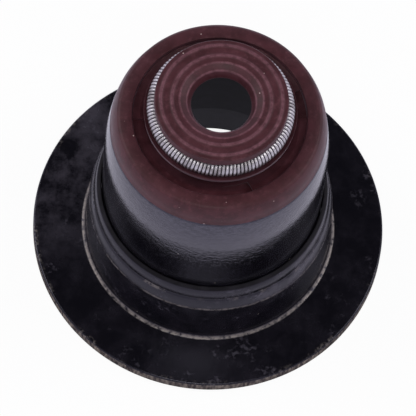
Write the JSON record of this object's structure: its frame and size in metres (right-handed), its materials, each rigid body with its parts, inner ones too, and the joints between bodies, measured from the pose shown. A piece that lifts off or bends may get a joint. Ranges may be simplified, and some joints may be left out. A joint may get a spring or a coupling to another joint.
{
  "type": "valve stem seal",
  "caption": "Valve stem seal with a built-in spring seat: a black steel flange and case topped by a brown rubber lip held by a coiled wire ring.",
  "frame": {"origin": "centre of the seat ring's flat underside, on the seal's axis", "axes": "+Z along the seal's axis, from the flange up to the sealing lip"},
  "size_m": [0.03, 0.03, 0.0254],
  "materials": {
    "coated_seat_steel": "semi-gloss black",
    "coated_case_steel": "gloss black with a fine orange peel",
    "seal_rubber": "satin",
    "spring_wire": "bright drawn"
  },
  "bodies": {
    "root": {"spring_seat": "coated_seat_steel", "seal_case": "coated_case_steel", "rubber_seal": "seal_rubber", "garter_spring": "spring_wire"}
  },
  "joints": []
}
